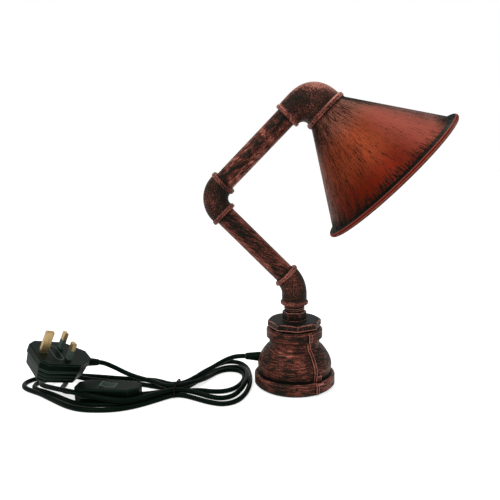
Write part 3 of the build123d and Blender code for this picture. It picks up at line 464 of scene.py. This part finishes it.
def brushed_cone():
    """Shade: red brushed down the slope over black, black in the rim's cove, a red lip; a painted sheen on the
    high side and painted shade along its sides.
    """
    graph = Graph(bpy.data.materials.new("brushed_shade"))
    u, v, w = round_frame(graph, SHADE_FACE, DROP)
    radius = graph.maths("SQRT", graph.maths("ADD", graph.times(u, u), graph.times(v, v)))
    upward = graph.maths("DIVIDE", u, radius)       # 1 along the high side, -1 along the low one
    towards = graph.maths("DIVIDE", v, radius)
    downward = graph.times(upward, -1.0)

    def brush(turns, length):
        strokes = stretched(graph, (upward, towards, w), turns, 1.0 / length)
        return graph.noise(strokes, detail=5.0, rough=0.62)

    streak = brush(*FINE_BRUSH)
    speck = graph.noise(graph.place(), 1000.0, detail=4.0, rough=0.7)
    near_neck = graph.rest(graph.ramp(w, *NECK_ZONE))
    near_rim = graph.ramp(w, *RIM_ZONE)
    # less red along the high and low sides, where the outline lies seen from the front: painted shade over uneven
    # rubbing
    high_side = graph.ramp(upward, 0.75, 0.98)
    low_side = graph.ramp(downward, 0.45, 1.0)
    lower_half = graph.ramp(downward, -0.5, 0.5)
    # painted sheen: pink, with fewer dark flecks, on the high side past the neck
    painted_sheen = graph.times(graph.ramp(upward, 0.1, 0.6), graph.ramp(w, *SHEEN_ZONE))
    total = graph.weigh((streak, 0.6), (brush(*BROAD_BRUSH), 0.2), (speck, 0.36), (painted_sheen, 0.03),
                        (near_neck, -0.06), (near_rim, -0.08), (high_side, -0.12),
                        (low_side, -0.03), (lower_half, -0.018))
    body = graph.mix(graph.ramp(w, *RED_ZONE), linear(SHADE_ORANGE), linear(SHADE_RED))
    body = graph.mix(painted_sheen, body, linear(SHADE_SHEEN))
    body = graph.mix(graph.times(near_neck, 0.6), body, linear(SHADE_NECK))
    mask = graph.ramp(total, 0.48, 0.52)
    colour = graph.mix(mask, linear(BASE_BLACK), linear(SHADE_DEEP))
    colour = graph.mix(graph.ramp(total, 0.50, 0.58), colour, body)
    cove = graph.times(graph.ramp(w, *COVE_EDGE), 0.95)
    colour = graph.mix(cove, colour, linear(BASE_BLACK))
    on_lip = graph.times(graph.ramp(radius, *LIP_OUTER_R), graph.ramp(w, *LIP_EDGE))
    colour = graph.mix(on_lip, colour, lip_colour(graph, w, speck))
    return graph.finish(Base_Color=colour, Roughness=graph.spread(mask, *SHADE_ROUGH),
                        Metallic=graph.times(mask, PAINT_METAL),
                        Specular_IOR_Level=SHADE_SPECULAR, Specular_Tint=OIL_SHEEN,
                        Normal=graph.bump(streak, 0.16, SHADE_RELIEF))


def moulded(name, colour, rough, grain=1500.0, bump=0.08, edges=0.0, reach=0.0010, grooves=()):
    """Matt moulded plastic, rubber or china: fine grain, uneven gloss, worn edges with a painted highlight where
    asked.

    grooves are (direction, level, half width) of dark lines round the piece, each with a painted highlight on its
    lips.
    """
    graph = Graph(bpy.data.materials.new(name))
    cloud = graph.noise(graph.place(), 60.0, detail=3.0, rough=0.5)
    tone = graph.mix(graph.ramp(cloud, 0.3, 0.7), linear(colour), scaled(colour, 1.3))
    if edges:
        # lightened edges: wear, and a painted highlight
        tone = graph.mix(graph.times(edge_light(graph, reach), edges), tone, linear(PLASTIC_WEAR_AND_HIGHLIGHT))
    heights = [(graph.noise(graph.place(), grain, detail=3.0, rough=0.6), 1.0)]
    for way, level, half in grooves:
        off = graph.maths("SUBTRACT", graph.along(graph.place(), way), level)
        off = graph.maths("ABSOLUTE", off)
        cut = graph.rest(graph.ramp(off, half * 0.8, half * 1.2))
        # the pale lips beside each groove are a painted highlight
        lip_highlights = graph.rest(graph.ramp(off, half * 1.6, half * 2.4))
        tone = graph.mix(graph.times(lip_highlights, 0.5), tone, linear(PLASTIC_WEAR_AND_HIGHLIGHT))
        tone = graph.mix(cut, tone, (0.0, 0.0, 0.0, 1.0))
        heights.append((cut, -GROOVE_DEPTH))
    return graph.finish(Base_Color=tone, Roughness=graph.spread(cloud, rough - 0.08, rough + 0.1),
                        Specular_IOR_Level=PLASTIC_SPECULAR, Specular_Tint=GREEN_SHEEN,
                        Normal=graph.bump(graph.weigh(*heights), bump, FINE_RELIEF))


def plated(name, colour, rough):
    """Plated or bare metal with fine drawn lines and slight tarnish."""
    graph = Graph(bpy.data.materials.new(name))
    upright = round_frame(graph, Vector(), UP)
    lines = graph.noise(stretched(graph, upright, 1800.0, 200.0), detail=3.0)
    tarnish = graph.noise(graph.place(), 220.0, detail=4.0)
    tone = graph.mix(graph.ramp(tarnish, 0.45, 0.75), linear(colour), scaled(colour, 0.55))
    return graph.finish(Base_Color=tone, Metallic=0.95,
                        Roughness=graph.spread(tarnish, rough - 0.06, rough + 0.16),
                        Normal=graph.bump(lines, 0.08, FINE_RELIEF))


def dress(material, *names):
    """Gives CAD nodes a material through their slots."""
    for name in names:
        mesh = NODES[name].data
        if not mesh.materials:
            mesh.materials.append(material)
        for index in range(len(mesh.materials)):
            mesh.materials[index] = material


# ---------------------------------------------------------------- pieces
def link(name, data, body, material):
    """A new piece that rides on a body and takes its finish from a slot."""
    piece = bpy.data.objects.new(name, data)
    bpy.context.scene.collection.objects.link(piece)
    data.materials.append(material)
    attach(piece, body)
    return piece


def strand(name, points, thickness, slot, material, smooth, sides, ring=False):
    """A cord or wire on one smooth curve of listed points, joined end to end where ring is true."""
    curve = bpy.data.curves.new(name, "CURVE")
    curve.dimensions = "3D"
    curve.resolution_u = smooth
    curve.bevel_depth = thickness / 2
    curve.bevel_resolution = sides
    curve.use_fill_caps = not ring
    spline = curve.splines.new("NURBS")
    spline.points.add(len(points) - 1)
    for point, place in zip(spline.points, points):
        point.co = (*place, 1.0)
    spline.order_u = 3
    spline.use_endpoint_u = not ring
    spline.use_cyclic_u = ring
    return link(name, curve, "base", material)


def skin(name, mesh, crease):
    """Mesh data from a closed skin, smooth but for edges sharper than crease."""
    bmesh.ops.recalc_face_normals(mesh, faces=mesh.faces)
    data = bpy.data.meshes.new(name)
    mesh.to_mesh(data)
    mesh.free()
    data.shade_smooth()
    data.set_sharp_from_angle(angle=crease)
    return data


def nipple_thread(material):
    """The thread that shows under the low elbow: a helical ridge, closed all round."""
    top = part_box("elbow_45")[0][2]
    low, high = top - THREAD_L, top - THREAD_GAP
    root = NIPPLE_THREAD_R - THREAD_DEPTH
    count = int((high - low) / HALF_INCH_PITCH * THREAD_STEPS)
    mesh = bmesh.new()
    rows = []
    for index in range(count + 1):
        turns = index / THREAD_STEPS
        angle = 2 * pi * turns
        fade = max(THREAD_END, min(1.0, turns, (count - index) / THREAD_STEPS))
        profile = [(root, -THREAD_HALF), (root + THREAD_DEPTH * fade, 0.0), (root, THREAD_HALF)]
        rows.append([mesh.verts.new((radius * cos(angle), radius * sin(angle),
                                     low + HALF_INCH_PITCH * (turns + offset)))
                     for radius, offset in profile])
    for before, after in zip(rows, rows[1:]):
        for k in range(3):
            follow = (k + 1) % 3
            mesh.faces.new((before[k], after[k], after[follow], before[follow]))
    mesh.faces.new(rows[0])
    mesh.faces.new(list(reversed(rows[-1])))
    return link("nipple_thread", skin("nipple_thread", mesh, THREAD_CREASE), "base",
                material)


def ring_stack(name, rows, body, material):
    """A closed skin through rings of (centre, direction, outline), the last joined to the first.

    outline(share of the way round) gives an angle and a radius: angle 0 is the camera's far side,
    and a quarter turn lies across the direction.
    """
    mesh = bmesh.new()
    rings = []
    for centre, way, outline in rows:
        side = way.cross(ACROSS)
        ring = []
        for step in range(RING_TURNS):
            angle, radius = outline(step / RING_TURNS)
            ring.append(mesh.verts.new(centre + (ACROSS * cos(angle) + side * sin(angle)) * radius))
        rings.append(ring)
    for before, after in zip(rings, rings[1:] + rings[:1]):
        for step in range(RING_TURNS):
            follow = (step + 1) % RING_TURNS
            mesh.faces.new((before[step], before[follow], after[follow], after[step]))
    return link(name, skin(name, mesh, FITTING_CREASE), body, material)


def low_fitting(material):
    """The 45 degree elbow, hollow, with its pipe-side band near the bend."""
    turn = UP.angle(LEAN)
    trim = BEND_45 * tan(turn / 2)
    pin = UP.cross(LEAN).normalized()
    inward = pin.cross(UP)
    centre = FOOT_BEND - UP * trim + inward * BEND_45
    straight = LEG_45 - trim
    length = straight + BEND_45 * turn + LEG_OUT_45 - trim

    def at(distance):
        """Point and direction on the fitting's middle line, from its lower face."""
        if distance <= straight:
            return FOOT_BEND - UP * (LEG_45 - distance), UP
        if distance >= straight + BEND_45 * turn:
            return FOOT_BEND + LEAN * (LEG_OUT_45 - length + distance), LEAN
        spin = Quaternion(pin, (distance - straight) / BEND_45)
        return centre - (spin @ inward) * BEND_45, spin @ UP

    band = [(0.0, MOUTH_R), (0.0, BEAD_R - BEAD_EDGE), (BEAD_EDGE, BEAD_R),
            (BEAD_W - BEAD_EDGE, BEAD_R), (BEAD_W, BEAD_R - BEAD_EDGE), (BEAD_W, BODY_R)]
    stops = [BEAD_W + (length - 2 * BEAD_W) * k / LOW_RINGS for k in range(LOW_RINGS + 1)]
    outside = band + [(stop, BODY_R) for stop in stops[1:-1]]
    outside += [(length - distance, radius) for distance, radius in reversed(band)]
    inside = [(stop, SOCKET_R) for stop in reversed(stops)]
    rows = [(*at(distance), oval(radius, radius)) for distance, radius in outside + inside]
    return ring_stack("low_fitting", rows, "lower_arm", material)


def oval(deep, wide):
    """Outline of an oval section: wide across the lamp, deep in its plane."""
    def outline(share):
        u, v = wide * cos(2 * pi * share), deep * sin(2 * pi * share)
        return atan2(v, u), sqrt(u * u + v * v)
    return outline


def head_fitting(material):
    """The reducing elbow, hollow, its inner corner as full as the photograph's.

    Between the two bands its sections fan about a line in the inner corner. throat and crown are
    the distances from that line to the inner and the outer face, at the small band and the large.
    """
    hinge_x, hinge_level = LEG_SMALL - BEAD_W, LEG_LARGE - LARGE_BEAD_W
    hinge = HEAD_BEND - REACH * hinge_x + DROP * hinge_level
    throat = (hinge_level - CROWN_SMALL_R, hinge_x - CROWN_LARGE_R)
    crown = (hinge_level + CROWN_SMALL_R, hinge_x + CROWN_LARGE_R)

    def smooth(share):
        share = min(1.0, max(0.0, share))
        return share * share * (3 - 2 * share)

    def fan(shrink, share):
        """The section at a share of the bend, made smaller all round by shrink."""
        angle = share * pi / 2
        swell = CROWN_FULL * sin(pi * share ** CROWN_LATE) ** 2
        near = throat[0] + (throat[1] - throat[0]) * share + shrink
        far = crown[0] + (crown[1] - crown[0]) * smooth(share) + swell - shrink
        widened = smooth((share - WIDEN_FROM) / WIDEN_OVER)
        wide = CROWN_SMALL_R + (CROWN_LARGE_R - CROWN_SMALL_R) * widened - shrink
        spoke = REACH * sin(angle) - DROP * cos(angle)
        return (hinge + spoke * (near + far) / 2, REACH * cos(angle) + DROP * sin(angle),
                oval((far - near) / 2, wide))

    def small(depth, radius):
        return HEAD_BEND - REACH * (LEG_SMALL - depth), REACH, oval(radius, radius)

    def large(depth, radius):
        return HEAD_BEND + DROP * (LEG_LARGE - depth), DROP, oval(radius, radius)

    shares = [k / HEAD_RINGS for k in range(HEAD_RINGS + 1)]
    rows = [small(0.0, MOUTH_R), small(0.0, BEAD_R - BEAD_EDGE), small(BEAD_EDGE, BEAD_R),
            small(BEAD_W - BEAD_EDGE, BEAD_R), small(BEAD_W, BEAD_R - BEAD_EDGE)]
    rows += [fan(0.0, share) for share in shares]
    rows += [large(LARGE_BEAD_W, LARGE_BEAD_R - LARGE_BEAD_EDGE),
             large(LARGE_BEAD_W - LARGE_BEAD_EDGE, LARGE_BEAD_R),
             large(LARGE_BEAD_EDGE, LARGE_BEAD_R), large(0.0, LARGE_BEAD_R - LARGE_BEAD_EDGE),
             large(0.0, LARGE_SOCKET_R), large(LARGE_BEAD_W, LARGE_SOCKET_R)]
    rows += [fan(FITTING_WALL, share) for share in reversed(shares)]
    return ring_stack("head_fitting", rows, "head", material)


# ---------------------------------------------------------------- stage
def place_camera():
    data = bpy.data.cameras.new("camera")
    data.lens = LENS_MM
    data.sensor_width = SENSOR_MM
    camera = bpy.data.objects.new("camera", data)
    bpy.context.scene.collection.objects.link(camera)
    turn = Vector(CAMERA_LOOK).to_track_quat("-Z", "Y") @ Quaternion((0, 0, 1), radians(CAMERA_ROLL))
    camera.location = CAMERA_AT
    camera.rotation_mode = "QUATERNION"
    camera.rotation_quaternion = turn
    bpy.context.scene.camera = camera


def seen_ray(graph):
    """1 for rays that carry the background to the eye: camera, mirror and glass rays."""
    path = graph.node("LightPath").outputs
    return graph.maths("MAXIMUM", graph.maths("MAXIMUM", path["Is Camera Ray"], path["Is Glossy Ray"]),
                       path["Is Transmission Ray"])


def lay_floor():
    mesh = bpy.data.meshes.new("floor")
    mesh.from_pydata(FLOOR_CORNERS, [], [(0, 1, 2, 3)])
    floor = bpy.data.objects.new("floor", mesh)
    bpy.context.scene.collection.objects.link(floor)
    graph = Graph(bpy.data.materials.new("floor"))
    plain = graph.node("BsdfDiffuse", {"Color": FLOOR_GREY}).outputs[0]
    glow = graph.node("Emission", {"Color": WHITE,
                                   "Strength": graph.times(seen_ray(graph), FLOOR_GLOW)}).outputs[0]
    mesh.materials.append(graph.show(graph.node("AddShader", {0: plain, 1: glow}).outputs[0]))


def light_world():
    graph = Graph(bpy.data.worlds.new("studio"))
    strength = graph.spread(seen_ray(graph), WORLD_LIGHT, WORLD_SEEN)
    back = graph.node("Background", {"Color": WHITE, "Strength": strength}).outputs[0]
    bpy.context.scene.world = graph.show(back, "OutputWorld")


def soft_box(name, place, aim, width, height, watts):
    data = bpy.data.lights.new(name, "AREA")
    data.shape = "RECTANGLE"
    data.size = width
    data.size_y = height
    data.energy = watts
    box = bpy.data.objects.new(name, data)
    bpy.context.scene.collection.objects.link(box)
    box.location = place
    box.rotation_mode = "QUATERNION"
    box.rotation_quaternion = (Vector(aim) - Vector(place)).to_track_quat("-Z", "Y")


# ---------------------------------------------------------------- the lamp
bpy.context.scene.view_settings.view_transform = "Standard"
place_camera()
lay_floor()
light_world()
for box in SOFT_BOXES:
    soft_box(*box)

cord_black = moulded("cord_black", PLASTIC_BLACK, rough=0.36, grain=900.0, bump=0.05)
casing_black = moulded("casing_black", PLASTIC_BLACK, rough=0.4, edges=0.7)
# the rocker: a lighter black and bright edges, painted highlights on its flanks
rocker_lit_black = moulded("rocker_lit_black", ROCKER_LIT_BLACK, rough=0.34, edges=1.0, reach=0.0013)
tie_black = moulded("tie_black", TIE_BLACK, rough=0.5)
plug_black = moulded("plug_black", PLASTIC_BLACK, rough=0.38, edges=0.7,
                     grooves=[(PIN_WAY, PLUG_FACE - depth, half) for depth, half in PLUG_LINES])
holder_black = moulded("holder_black", HOLDER_BLACK, rough=0.34)
rubber = moulded("pad_rubber", RUBBER_BLACK, rough=0.7)
porcelain = moulded("fuse_body", FUSE_CREAM, rough=0.3)
steel = plated("plated_steel", STEEL_GREY, rough=0.32)
brass = plated("brass", BRASS, rough=0.26)

ELBOW = {"grain": 1300.0, "bump": 0.6, "edges": 0.9, "soft": 0.09, "red": ELBOW_RED}
PIPE = {"grain": 1300.0, "bump": 0.2, "edges": 0.2}
base_paint = rubbed("cast_base", Vector(), UP, across=120.0, along=1200.0, cover=0.48,
                    grain=1200.0, bump=0.8, edges=1.0, soft=0.03, speckle=0.42)
bushing_paint = rubbed("cast_bushing", Vector(), UP, across=700.0, along=900.0, cover=0.31,
                       grain=1300.0, bump=0.45, edges=1.6, tops=0.18)
low_elbow_paint = rubbed(
    "cast_low_elbow", Vector(), UP, across=900.0, along=1300.0, cover=0.42, **ELBOW,
    bands=[bead_at(FOOT_BEND, -UP, LEG_45), bead_at(FOOT_BEND, LEAN, LEG_OUT_45)])
mid_elbow_paint = rubbed(
    "cast_mid_elbow", PIPE_BEND, REACH, across=900.0, along=1300.0, cover=0.40, **ELBOW,
    bands=[bead_at(PIPE_BEND, REACH, LEG_90), bead_at(PIPE_BEND, DROP, LEG_90)])
# tops below zero: more rub on the upward faces, and a painted highlight from above
top_elbow_paint = rubbed(
    "cast_top_elbow", HEAD_BEND, DROP, across=800.0, along=1200.0, cover=0.44, **ELBOW,
    tops=-0.13, tops_from=0.3,
    bands=[bead_at(HEAD_BEND, -REACH, LEG_SMALL), bead_at(HEAD_BEND, DROP, LEG_LARGE, LARGE_BEAD_W)])
# the negative band paints shade along the pipe's upper right side
low_pipe_paint = rubbed(
    "brushed_low_pipe", PIPE_BEND, LEAN, across=950.0, along=110.0, cover=0.62, twist=40.0, **PIPE,
    soft=0.06, speckle=0.38, bands=[(PIPE_BEND, REACH, -0.0035, 0.0065, 0.003, -0.075)])
# the negative band paints shade along the pipe's upper left side
top_pipe_paint = rubbed(
    "brushed_top_pipe", HEAD_BEND, REACH, across=420.0, along=150.0, cover=0.62, twist=-14.0, **PIPE,
    soft=0.07, speckle=0.45, bands=[(PIPE_BEND, LEAN, -0.003, 0.007, 0.003, -0.06)])
shade_paint = brushed_cone()

dress(base_paint, "base_casting")
dress(bushing_paint, "octagon_bushing", "hex_nipple")
dress(mid_elbow_paint, "elbow_90")
dress(low_pipe_paint, "lower_pipe")
dress(top_pipe_paint, "upper_pipe")
dress(shade_paint, "shade", "shade_collar")
dress(rubber, "foot_pad")
dress(steel, "base_plate", "carrier_disc", "carrier_tube", "carrier_locknut", "switch_screws")
dress(holder_black, "holder_cap", "holder_core", "holder_skirt")
dress(brass, "screw_shell", "centre_contact", "earth_pin", "power_pins", "switch_contacts")
dress(porcelain, "fuse")
dress(casing_black, "cord_grip", "switch_base", "switch_cover", "plug_guard", "pin_sleeves",
      "fuse_drawer")
dress(plug_black, "plug_face", "plug_back")
dress(rocker_lit_black, "switch_rocker")
dress(cord_black, "flex_in_base", "flex_in_lower_arm", "flex_in_upper_arm", "flex_in_head")

lamp_cord = strand("lamp_cord", LAMP_CORD_ROUTE, CORD_D, "black_cord", cord_black, **CORD_STEPS)
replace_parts(lamp_cord, "cord_from_base", "cord_hank", "cord_into_switch")

plug_cord = strand("plug_cord", PLUG_CORD_ROUTE, CORD_D, "black_cord", cord_black, **CORD_STEPS)
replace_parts(plug_cord, "cord_to_plug", "cord_out_of_switch")

tie_loop = strand("tie_loop", TIE_LOOP, TIE_WIRE_D, "black_tie", tie_black, **WIRE_STEPS, ring=True)
strand("tie_ends", TIE_ENDS, TIE_WIRE_D, "black_tie", tie_black, **WIRE_STEPS)
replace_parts(tie_loop, "cord_tie")

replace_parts(low_fitting(low_elbow_paint), "elbow_45")
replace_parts(head_fitting(top_elbow_paint), "reducing_elbow")
nipple_thread(bushing_paint)
